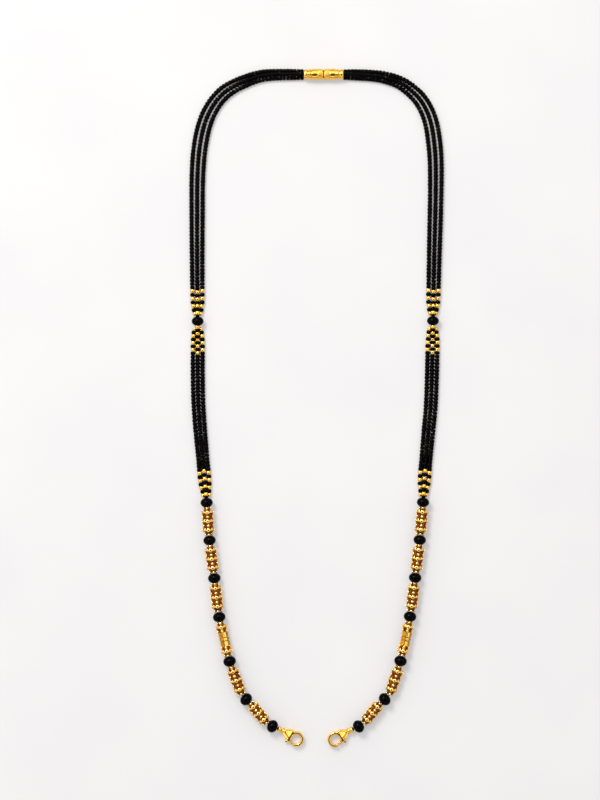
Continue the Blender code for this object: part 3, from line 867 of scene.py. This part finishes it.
PLAIN_TUBE = PLAIN_ENDS + PLAIN_MIDDLE + mirrored(PLAIN_MIDDLE[:-1]) + mirrored(PLAIN_ENDS)
print("rows turned:", len(GRANULATED_TUBE), "granulated,", len(PLAIN_TUBE), "plain")

# %% [markdown]
# The distance of a face from the bead's axis decides its finish. The tube starts all in dark
# gold, painted shade for its hollows, and the bands, the belt and the ridges on the bead's flanks
# are polished. The ridges that face up and down keep the painted shade between their granules.

# %% Tube beads
# Outline, sides and granules of each kind, and how far from the axis polish starts, with painted
# shade nearer in: on the flanks, and all round
TUBE_BEADS = {
    "granulated": (GRANULATED_TUBE, 48, GRANULATED_RINGS, 2.28 * MM, 2.42 * MM),
    "plain_middle": (PLAIN_TUBE, 80, PLAIN_RINGS, 2.05 * MM, 2.05 * MM),
}
# Slots of a tube bead's materials, after those of its painted shade and its granules
POLISHED_SLOT = 2
PAINTED_SHADE_FLAT_SLOT = 3
# The flats reach this share of the length from the middle
FLATS_END = 0.198


def polish(bead, tube_faces, matrix, flank_reach, all_reach, flats_end):
    """Polish what stands out, the rest keeping painted shade; every other middle flat gets its own
    painted shade.
    """
    bead.data.materials.append(gold)
    bead.data.materials.append(brushed_gold_painted_shade)
    upright = matrix.inverted()
    for face in bead.data.polygons[:tube_faces]:
        spot = upright @ face.center
        out = hypot(spot.x, spot.y)
        # Faces nearer the axis, and ridges facing up or down, keep the dark gold of painted shade
        if out > flank_reach and (out > all_reach or abs(spot.y) > abs(spot.x)):
            face.material_index = POLISHED_SLOT
        flat = round((atan2(spot.y, spot.x) - FACET_LEAN) * FACETS / (2 * pi))
        # Every other flat takes the deeper gold, painted shade
        if abs(spot.z) < flats_end and flat % 2:
            face.material_index = PAINTED_SHADE_FLAT_SLOT


for side, beads in strings.items():
    for kind, number, length, width, (first, last) in beads:
        if kind not in TUBE_BEADS:
            continue
        outline, sides, rings, flank_reach, all_reach = TUBE_BEADS[kind]
        matrix = Matrix.Translation((first + last) / 2) @ along(first - last)
        tube = turned(tube_rows(outline, length), sides)
        # The tube starts in the dark gold of painted shade
        laid = [(tube, matrix, painted_shade_gold)] + granules(rings, length, matrix)
        made = add_piece(f"{kind}_bead_{number}_{side}", laid, (f"{kind}_{number}_{side}",))
        flats_end = FLATS_END * length if kind == "plain_middle" else 0.0
        polish(made, len(tube[1]), matrix, flank_reach, all_reach, flats_end)
print("last tube bead:", made.name, "with", len(made.data.polygons), "faces")

# %% [markdown]
# ## Barrel clasp
#
# The clasp at the top is two turned halves that screw together. Each has a milled band to grip
# beside the seam, a plain drum, a narrow ring between two grooves, and a rounded bead at its
# end where the threads go in. One outline does for both halves. The milled band's ribs are
# real ridges in the section, and a satin gold covers it.

# %% Barrel clasp
def ribbed(angle, count=48, depth=0.018):
    """A section milled with shallow ribs along the axis."""
    return 1.0 - depth * (0.5 - 0.5 * cos(angle * count))


BARREL_NECK = 1.9
# Outline from the seam outward: distance in mm, radius in mm, and the cut of the milled band
BARREL_OUTLINE = (
    (0.0, BARREL_NECK), (0.0, 2.05), (0.1, 2.22), (0.3, 2.3), (0.44, 2.34),
    (0.5, 2.42, ribbed), (0.6, 2.43, ribbed), (2.46, 2.43, ribbed), (2.56, 2.42, ribbed),
    (2.62, 2.32), (2.7, 2.28), (2.78, 2.32), (2.86, 2.46), (2.96, 2.5), (3.06, 2.5),
    (5.14, 2.5), (5.24, 2.48), (5.32, 2.4), (5.42, 2.08), (5.56, 2.0), (5.66, 2.12),
    (5.8, 2.32), (6.0, 2.38), (6.3, 2.38), (6.5, 2.3),
    (6.66, 2.12), (6.76, 1.95), (6.9, 1.92), (7.04, 2.05), (7.25, 2.22), (7.6, 2.32), (8.1, 2.32),
    (8.5, 2.24), (8.75, 2.08), (8.88, 1.8), (8.92, 1.3), (8.92, 0.0),
)
BARREL_SEAM = 0.15 * MM
BARREL_SIDES = 144
# The milled band, from the seam outward, and how deep its faces may lie
GRIP_START = 0.43 * MM
GRIP_END = 2.6 * MM
GRIP_REACH = 2.1 * MM
SATIN_SLOT = 1
PAINTED_SHADE_SLOT = 2
for name, way in (("screw", -1), ("socket", 1)):
    rows = [(radius * MM, reach * MM, *cut) for reach, radius, *cut in reversed(BARREL_OUTLINE)]
    # The screw half's neck fills the seam and ends just short of the other half
    neck = -2 * BARREL_SEAM + 0.02 * MM if name == "screw" else 0.0
    rows += [(BARREL_NECK * MM, neck), (0.0, neck)]
    place = Vector((BARREL_PLACE + way * BARREL_SEAM, BARREL_AXIS, BARREL_WIDTH / 2))
    matrix = Matrix.Translation(place) @ along((way, 0.0, 0.0))
    half = add_piece(
        f"barrel_{name}_turned", [(turned(rows, BARREL_SIDES), matrix, gold)],
        (f"barrel_{name}_half",), weld=True)
    half.data.materials.append(satin_gold)
    half.data.materials.append(painted_shade_gold)
    milled = 0
    for face in half.data.polygons:
        reach = (face.center.x - place.x) * way
        out = hypot(face.center.y - place.y, face.center.z - place.z)
        if reach < 0.001 * MM:
            # The faces in the seam take the dark gold, painted shade for the seam
            face.material_index = PAINTED_SHADE_SLOT
        elif GRIP_START < reach < GRIP_END and out > GRIP_REACH:
            face.material_index = SATIN_SLOT
            milled += 1
    print(half.name, "has", milled, "milled faces")

# %% [markdown]
# ## End balls
#
# A small gold ball sits on the thread between the last rondelle and the clasp's collar, and
# hides the knot. It is drilled, so it is turned rather than a bare ball.

# %% End balls
BALL_WIDTH = 2.4 * MM
BALL_LENGTH = 1.4 * MM
BALL_GAP = 0.45 * MM
BALL_BORE = 0.7 * MM
# The ball is a little fuller than its solid, so that it hides the thread beside it
BALL_EXTRA_WIDTH = 0.2 * MM
BALL_EXTRA_LENGTH = 0.45 * MM
# The string leaves the last rondelle at this angle in degrees, toward the clasp's collar
DROP_ANGLE = 20.0
CLASP_THICK = 2.9 * MM


def ball_rows(width, length, bore, count=20):
    """A drilled ball, a little flattened, from one rim of its hole to the other."""
    start = asin(bore / width)
    angles = [start + (pi - 2 * start) * i / count for i in range(count + 1)]
    return [(width / 2 * sin(angle), length / 2 * cos(angle) / cos(start)) for angle in angles]


mouths = {}
for side, beads in strings.items():
    *_, (first, last) = beads[-1]
    drop = radians(-DROP_ANGLE if side == "left" else DROP_ANGLE - 180)
    level = Vector((cos(drop), sin(drop), 0.0))
    mouth = last + (BALL_LENGTH + 2 * BALL_GAP) * level
    mouth.z = CLASP_THICK / 2
    tilt = (mouth - last).normalized() + level
    matrix = Matrix.Translation((mouth + last) / 2) @ along(tilt)
    rows = ball_rows(BALL_WIDTH + BALL_EXTRA_WIDTH, BALL_LENGTH + BALL_EXTRA_LENGTH, BALL_BORE)
    add_piece(f"end_ball_gold_{side}", [(turned(rows, 40), matrix, gold)], (f"end_ball_{side}",))
    mouths[side] = mouth
    print(side, "collar's mouth in mm:", [round(part / MM, 2) for part in mouth])

# %% [markdown]
# ## Trigger clasps
#
# A trigger clasp is cast: a collar, a body of two arms with a facet between, and a ring that
# is closed by a sprung lever on a pin. Its shape comes from a flat drawing, cut and joined with
# Booleans. The facet slopes down toward the collar, so it catches the light as a bright
# triangle. The main sizes below are those of the solids. The rounding of the edges and the
# collar's wider flange are the scene's own.

# %% Sizes of the clasp, with angles in degrees about the ring
CLASP_EDGE = 0.5 * MM
CHEEK_EDGE = 0.55 * MM
ARM_EDGE = 0.4 * MM
TAB_EDGE = 0.25 * MM
CLASP_ANGLE = 32.0
COLLAR_LENGTH = 1.4 * MM
COLLAR_WIDTH = 2.5 * MM
COLLAR_BORE = 1.1 * MM
COLLAR_DEPTH = 0.75 * COLLAR_LENGTH
# Smoothing takes a little off the collar's rims, so they start out wider
COLLAR_SHARE = 1.12
RING_PLACE = 7.8 * MM
RING_RADIUS = 3.5 * MM
HOLE_RADIUS = 2.2 * MM
PIN_WIDTH = 0.7 * MM
LEVER_THICK = 0.9 * MM
# Corners of the body, as shares of the ring's place along it and the ring's radius beside it
PLATE_CORNERS = ((0.48, 0.79), (0.14, 0.28), (0.14, -0.3), (0.35, -0.55), (0.5, -0.8))
PIVOT_ANGLE = 216.0
PIVOT_REACH = RING_RADIUS - 0.1 * MM
PIVOT = Vector((
    RING_PLACE + PIVOT_REACH * cos(radians(PIVOT_ANGLE)), PIVOT_REACH * sin(radians(PIVOT_ANGLE))))
PIN_BORE = PIN_WIDTH + 0.5 * MM
BOSS_WIDTH = PIN_BORE + 0.9 * MM
CHEEK_WIDTH = BOSS_WIDTH + 0.1 * MM
SLOT_HEIGHT = LEVER_THICK + 2 * PIECE_GAP
SLOT_WIDTH = BOSS_WIDTH + 2 * PIECE_GAP
ARM_START = CHEEK_WIDTH / 2 + PIECE_GAP
LEVER_START_ANGLE = 228.0
LEVER_END_ANGLE = 265.0
LEVER_SLANT = 6.0
HOOK_TIP_ANGLE = 273.0
SHOULDER_ANGLE = 135.0
HOLE_START_ANGLE = 205.0
# The angles of the thumb tab and of the relief that the lever turns in are about the pivot
TAB_WIDTH = 1.1 * MM
TAB_REACH = 1.55 * MM
TAB_ANGLE = 246.0
RELIEF_REACH = 1.85 * MM
RELIEF_ANGLES = (-80.0, 62.0)
print("the lever's pivot in mm:", [round(part / MM, 2) for part in PIVOT])

# %% [markdown]
# A bevelled curve makes a plate with rounded edges from any flat outline. Booleans then cut and
# join such plates. After each one the mesh is welded and cut in triangles, because a Boolean
# only gives a closed result from closed meshes.

# %% Plates, discs and Booleans
def arc(centre, radius, start, end, steps):
    """Points on an arc, angles in degrees."""
    angles = [radians(start + (end - start) * i / steps) for i in range(steps + 1)]
    return [centre + radius * Vector((cos(a), sin(a))) for a in angles]


def as_mesh(drawn):
    """The evaluated object as a welded object of triangles; the drawn one is removed."""
    graph = bpy.context.evaluated_depsgraph_get()
    mesh = bpy.data.meshes.new_from_object(drawn.evaluated_get(graph), depsgraph=graph)
    welded = bmesh.new()
    welded.from_mesh(mesh)
    bmesh.ops.remove_doubles(welded, verts=welded.verts, dist=0.001 * MM)
    bmesh.ops.triangulate(welded, faces=welded.faces)
    bmesh.ops.recalc_face_normals(welded, faces=welded.faces)
    welded.to_mesh(mesh)
    welded.free()
    made = bpy.data.objects.new(drawn.name + "_mesh", mesh)
    bpy.context.scene.collection.objects.link(made)
    bpy.data.objects.remove(drawn)
    return made


def plate(name, outline, thick, edge=0.0, rounding=3):
    """A flat outline with rounded edges, its middle at height zero, as a closed mesh."""
    curve = bpy.data.curves.new(name, "CURVE")
    curve.dimensions = "2D"
    curve.fill_mode = "BOTH"
    curve.extrude = thick / 2 - edge
    curve.bevel_depth = edge
    curve.bevel_resolution = rounding
    curve.offset = -edge
    spline = curve.splines.new("POLY")
    spline.points.add(len(outline) - 1)
    for spot, point in zip(spline.points, outline):
        spot.co = (point.x, point.y, 0.0, 1.0)
    spline.use_cyclic_u = True
    drawn = bpy.data.objects.new(name, curve)
    bpy.context.scene.collection.objects.link(drawn)
    return as_mesh(drawn)


def disc(name, centre, width, thick, edge=0.0, steps=32):
    """A round plate."""
    return plate(name, arc(centre, width / 2, 0, 360 - 360 / steps, steps - 1), thick, edge)


def loose(name, form):
    """A form as an object on its own, for a Boolean."""
    mesh = bpy.data.meshes.new(name)
    mesh.from_pydata(form[0], [], form[1])
    drawn = bpy.data.objects.new(name, mesh)
    bpy.context.scene.collection.objects.link(drawn)
    return as_mesh(drawn)


def combine(base, steps):
    """The base with each (operation, object) in turn, welded after every step."""
    for operation, other in steps:
        boolean = base.modifiers.new(other.name, "BOOLEAN")
        boolean.operation = operation
        boolean.object = other
        bpy.context.view_layer.update()
        base = as_mesh(base)
        bpy.data.objects.remove(other)
    return base


# %% [markdown]
# A casting has no sharp edges, and tumbling rounds them more. A fine voxel remesh followed by
# smoothing rounds every edge and corner alike, which bevels on a Boolean's ragged edges can't.

# %% Cast and polish
VOXEL = 0.075 * MM


def cast(rough, name):
    """Remesh in fine voxels and smooth: every edge is rounded as on a tumbled casting."""
    remesh = rough.modifiers.new("remesh", "REMESH")
    remesh.mode = "VOXEL"
    remesh.voxel_size = VOXEL
    soften = rough.modifiers.new("soften", "SMOOTH")
    soften.factor = 0.5
    soften.iterations = 8
    reduce = rough.modifiers.new("reduce", "DECIMATE")
    reduce.ratio = 0.35
    bpy.context.view_layer.update()
    graph = bpy.context.evaluated_depsgraph_get()
    mesh = bpy.data.meshes.new_from_object(rough.evaluated_get(graph), depsgraph=graph)
    bpy.data.objects.remove(rough)
    mesh.name = name
    mesh.materials.clear()
    mesh.materials.append(gold)
    finish_mesh(mesh, weld=False, crease=80)
    print(name, "has", len(mesh.polygons), "faces")
    return mesh


# %% [markdown]
# The hook and the lever are drawn once, with the collar's mouth at the origin and the axis
# along +X. The right clasp is the left one turned over, as the two lie in the picture.

# %% Hook and lever
RING = Vector((RING_PLACE, 0.0))
# Facets of the body: corners in mm along the axis and beside it, the height at the first
# corner, and the rise a millimetre along the axis and beside it
SUNK_FACET = (((1.45, 0.6), (4.35, 2.35), (4.75, 0.9), (4.7, 0.0), (4.88, -1.17)), 0.58, (0.27, 0.0))
SIDE_FACET = (((1.0, 0.1), (4.7, -1.5), (4.1, -3.1), (0.4, -1.6)), 1.35, (0.21, 0.49))
# The block that cuts a facet reaches this far from the body's middle, in mm
CUTTER_TOP = 3.0


def facet_cutter(facet, way):
    """A block above or below the body that cuts a sloping facet."""
    corners, height, (along_rise, beside_rise) = facet
    count = len(corners)
    levels = [
        height + (x - corners[0][0]) * along_rise + (y - corners[0][1]) * beside_rise for x, y in corners]
    points = [Vector((x, y, way * z)) * MM for (x, y), z in zip(corners, levels)]
    points += [Vector((x, y, way * CUTTER_TOP)) * MM for x, y in corners]
    faces = [tuple(range(count)), tuple(range(count, 2 * count))]
    faces += [(i, (i + 1) % count, count + (i + 1) % count, count + i) for i in range(count)]
    return loose("facet", (points, faces))


def collar_form():
    """The collar: a rim, a groove, a second bead, and the shank into the body."""
    flange, bore = COLLAR_SHARE * COLLAR_WIDTH / 2, COLLAR_BORE / 2
    outline = (
        (0.94, 0.0), (1.0, 0.06), (1.0, 0.26), (0.9, 0.34), (0.76, 0.38), (0.76, 0.5), (0.9, 0.56),
        (0.97, 0.66), (0.97, 0.82), (0.86, 0.96), (0.62, 1.25), (0.0, 1.25),
    )
    rows = [(flange * radius, -COLLAR_LENGTH * reach) for radius, reach in outline]
    rows += [(0.0, -COLLAR_DEPTH), (bore, -COLLAR_DEPTH), (bore, 0.0)]
    points, faces = turned(rows, 40)
    matrix = along((-1.0, 0.0, 0.0))
    return [matrix @ point for point in points], faces


def hook_mesh():
    """Body with its facets, ring with its mouth, two cheeks, the pin and the collar."""
    outline = [Vector((RING_PLACE * x, RING_RADIUS * y)) for x, y in PLATE_CORNERS] + [PIVOT]
    outline += arc(RING, HOLE_RADIUS, HOLE_START_ANGLE, HOOK_TIP_ANGLE - 360, 44)
    outline += arc(RING, RING_RADIUS, HOOK_TIP_ANGLE - 360, SHOULDER_ANGLE, 40)
    body = plate("hook_body", outline, CLASP_THICK, CLASP_EDGE)
    relief = [PIVOT] + arc(PIVOT, RELIEF_REACH, *RELIEF_ANGLES, 20)
    return cast(combine(body, [
        ("DIFFERENCE", facet_cutter(SUNK_FACET, 1)),
        ("DIFFERENCE", facet_cutter(SUNK_FACET, -1)),
        ("DIFFERENCE", facet_cutter(SIDE_FACET, 1)),
        ("DIFFERENCE", facet_cutter(SIDE_FACET, -1)),
        ("DIFFERENCE", plate("relief", relief, 2 * CLASP_THICK)),
        ("UNION", disc("cheeks", PIVOT, CHEEK_WIDTH, CLASP_THICK, CHEEK_EDGE)),
        ("DIFFERENCE", disc("slot", PIVOT, SLOT_WIDTH, SLOT_HEIGHT)),
        ("UNION", disc("pin", PIVOT, PIN_WIDTH, CLASP_THICK - PIECE_GAP)),
        ("UNION", loose("collar", collar_form())),
    ]), "hook_casting")


def lever_mesh():
    """Boss, web in the slot, full-height arm across the mouth, thumb tab."""
    edge = CLASP_EDGE / 3
    inner, outer = HOLE_RADIUS + edge, RING_RADIUS - edge
    outline = arc(RING, inner, LEVER_END_ANGLE, LEVER_START_ANGLE, 12)
    outline += arc(RING, outer, LEVER_START_ANGLE - LEVER_SLANT, LEVER_END_ANGLE, 14)
    arm = plate("arm", outline, CLASP_THICK, ARM_EDGE)
    tab_end = PIVOT + TAB_REACH * Vector((cos(radians(TAB_ANGLE)), sin(radians(TAB_ANGLE))))
    tab = arc(PIVOT, TAB_WIDTH / 2, TAB_ANGLE + 90, TAB_ANGLE + 270, 1)
    tab += arc(tab_end, TAB_WIDTH / 2, TAB_ANGLE - 90, TAB_ANGLE + 90, 16)
    return cast(combine(arm, [
        ("DIFFERENCE", disc("arm_start", PIVOT, 2 * ARM_START, 2 * CLASP_THICK)),
        ("UNION", plate("web", outline, LEVER_THICK)),
        ("UNION", disc("boss", PIVOT, BOSS_WIDTH, LEVER_THICK)),
        ("UNION", plate("tab", tab, LEVER_THICK, TAB_EDGE)),
        ("DIFFERENCE", disc("lever_bore", PIVOT, PIN_BORE, 2 * CLASP_THICK)),
    ]), "lever_casting")


clasp_meshes = {"hook": hook_mesh(), "lever": lever_mesh()}
for side, mouth in mouths.items():
    angle = radians(-CLASP_ANGLE if side == "left" else CLASP_ANGLE - 180)
    turn = Matrix.Rotation(angle, 4, "Z")
    if side == "right":
        turn = turn @ Matrix.Rotation(pi, 4, "X")
    for part, mesh in clasp_meshes.items():
        mesh = mesh.copy()
        mesh.transform(Matrix.Translation(mouth) @ turn)
        body = "chain" if part == "hook" else f"lever_{side}"
        show_piece(f"{part}_cast_{side}", mesh, body, (f"{part}_{side}",))

# %% [markdown]
# ## Thread of the single string
#
# The solid of the thread already has the right shape: it runs through every bead, out of the
# last rondelle, through the end ball and into the collar. It stays, with the waxed thread on it.

# %% Dress the threads
for side in SIDES:
    for node in bpy.data.objects:
        if node.name.startswith(f"thread_{side}") and node.type == "MESH":
            node.data.materials.clear()
            node.data.materials.append(waxed_thread)
            print("dressed", node.name)

# %% [markdown]
# ## Board, light and camera
#
# The necklace lies on a pale painted board. Its paint has a faint eggshell grain and warms a
# little here and there. The light is a big soft box high at the upper left and a white room
# all round. A polished bead shows the whole room, so what the room looks like matters. Almost
# straight above is a dark patch, where a camera on its stand hides the ceiling. Round the patch
# the ceiling is brightest, and low down, behind furniture, the room grows dark. Gold looks like
# gold because of these steps from bright to dark: in an even white room it would look like paint.

# %% Pale board
# Part of the board's brightness is glow, which keeps the soft shadows pale
GLOW = 0.34
BOARD_REACH = 1.2
# The board's face lies a hair below the solids. The widest seeds still dip about 0.2 mm into it
BOARD_DROP = 0.05 * MM
board_paint = new_finish(
    "eggshell paint on board", patterns=(60 * MM, 2 * MM, 0.8 * MM),
    colours=("#979697", "#9B9A9A"), rough=(0.5, 0.6), depth=0.01 * MM,
    constants={
        "Specular IOR Level": 0.25,
        "Emission Color": linear("#FFFDFD"),
        "Emission Strength": GLOW,
    })
mesh = bpy.data.meshes.new("board")
corners = [(x * BOARD_REACH, y * BOARD_REACH, 0) for x, y in ((-1, -1), (1, -1), (1, 1), (-1, 1))]
mesh.from_pydata(corners, [], [(0, 1, 2, 3)])
mesh.materials.append(board_paint)
board = bpy.data.objects.new("board", mesh)
board.location.z = -BOARD_DROP
bpy.context.scene.collection.objects.link(board)
print("board of", 2 * BOARD_REACH, "m")

# %% White room with a dark patch overhead
ROOM = 1.2
# Shares of the room's brightness: in the patch, in the ring round it and at the horizon
OVERHEAD = 0.07
HALO = 1.35
HORIZON = 0.06
BRIGHTER_SIDE = Vector((-0.2, 0.4, 0.0))
# The middle of the patch leans this far from straight up, toward the trigger clasps
PATCH_LEAN = radians(14)
DARK_WAY = Vector((0.0, -sin(PATCH_LEAN), cos(PATCH_LEAN)))
room = bpy.data.worlds.new("white room")
bpy.context.scene.world = room
room.use_nodes = True
tree = room.node_tree
tree.nodes.clear()
facing = add_node(tree, "ShaderNodeTexCoord", {}).outputs["Generated"]
rise = add_node(tree, "ShaderNodeSeparateXYZ", {"Vector": facing}).outputs["Z"]
toward, lean = [
    add_node(tree, "ShaderNodeVectorMath", {0: facing, 1: way}, operation="DOT_PRODUCT")
    .outputs["Value"] for way in (DARK_WAY, BRIGHTER_SIDE)]
# Each smooth step: what it measures, from where to where, and the brightness before and after
steps = (
    (rise, sin(radians(2)), sin(radians(24)), HORIZON, 1.0),
    (toward, cos(radians(75)), cos(radians(40)), 1.0, HALO),
    (toward, cos(radians(32)), cos(radians(24)), 1.0, OVERHEAD),
    (lean, -0.45, 0.45, 0.7, 1.3),
)
strength = ROOM
for measure, start, end, before, after in steps:
    step = add_node(tree, "ShaderNodeMapRange", {
        "Value": measure, "From Min": start, "From Max": end, "To Min": before, "To Max": after,
    }, interpolation_type="SMOOTHSTEP")
    product = add_node(
        tree, "ShaderNodeMath", {0: strength, 1: step.outputs["Result"]}, operation="MULTIPLY")
    strength = product.outputs["Value"]
light = add_node(tree, "ShaderNodeBackground", {"Strength": strength, "Color": linear("#FFFFFF")})
add_node(tree, "ShaderNodeOutputWorld", {"Surface": light.outputs["Background"]})
print("room at", ROOM)

# %% Soft box
def soft_box(name, size, power, place, aim, colour):
    """A square area light at a place in metres, turned to face a point."""
    lamp = bpy.data.lights.new(name, "AREA")
    lamp.size = size
    lamp.energy = power
    lamp.color = linear(colour)[:3]
    box = bpy.data.objects.new(name, lamp)
    box.location = place
    box.rotation_euler = (Vector(place) - Vector(aim)).to_track_quat("Z", "Y").to_euler()
    bpy.context.scene.collection.objects.link(box)
    return box


soft_box(
    "key soft box", size=0.42, power=17.0, place=(-0.48, 0.72, 1.05), aim=(0.0, 0.0, 0.0),
    colour="#FFFDFA")
print("lights:", [lamp.name for lamp in bpy.data.lights])

# %% [markdown]
# A long lens far above shows the necklace almost without perspective. The sensor's width lies
# along the picture's longer side, which is its height here. From that and the size that a pixel
# shows at the beads' middle height follows how high the camera hangs.

# %% Camera straight above
PIXEL = 0.455 * MM
PICTURE_HEIGHT = 800
BEAD_LEVEL = 2.0 * MM
LENS = 150.0
SENSOR = 36.0
# The picture's middle lies this far from the middle of the barrel clasp
VIEW_ASIDE = -10.74 * MM
VIEW_DOWN = -148.15 * MM
view = bpy.data.cameras.new("camera above")
view.lens = LENS
view.sensor_width = SENSOR
camera = bpy.data.objects.new("camera above", view)
camera_height = PICTURE_HEIGHT * PIXEL * LENS / SENSOR + BEAD_LEVEL
camera.location = (BARREL_PLACE + VIEW_ASIDE, BARREL_AXIS + VIEW_DOWN, camera_height)
bpy.context.scene.collection.objects.link(camera)
bpy.context.scene.camera = camera
bpy.context.scene.view_settings.view_transform = "Standard"
print("camera", round(camera.location.z, 3), "m above the board")
